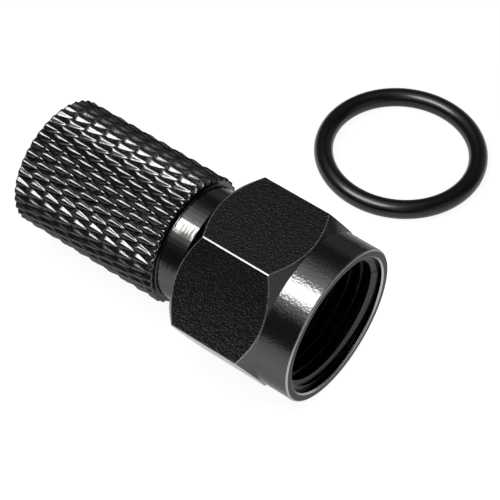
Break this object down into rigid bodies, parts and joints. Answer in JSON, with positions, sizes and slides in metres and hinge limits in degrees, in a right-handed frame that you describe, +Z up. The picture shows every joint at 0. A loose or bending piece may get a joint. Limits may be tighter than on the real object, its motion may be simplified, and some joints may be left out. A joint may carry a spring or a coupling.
{
  "type": "f connector",
  "caption": "Twist-on F connector for coaxial cable: hexagonal coupling nut swivelling on a diamond-knurled sleeve, black nickel finish, with its rubber sealing ring lying beside it.",
  "frame": {"origin": "on the connector's axis, in the plane of the nut's mouth", "axes": "+X along the connector's axis out of the nut's mouth, +Z up, with a flat of the hexagon facing down; the cable leaves towards -X"},
  "size_m": [0.023, 0.0313, 0.011],
  "materials": {
    "plated_nut": "black nickel plating, satin on the flats and bright on the collar",
    "plated_sleeve": "black nickel plating, bright",
    "ring_rubber": "smooth black moulded rubber"
  },
  "bodies": {
    "nut": {"coupling_nut": "plated_nut", "seal_ring": "ring_rubber"},
    "sleeve": {"knurled_sleeve": "plated_sleeve"}
  },
  "joints": [
    {"name": "nut_swivel", "type": "hinge", "parent": "nut", "child": "sleeve", "pos_m": [-0.009, 0, 0], "axis": [1, 0, 0], "continuous": true}
  ]
}
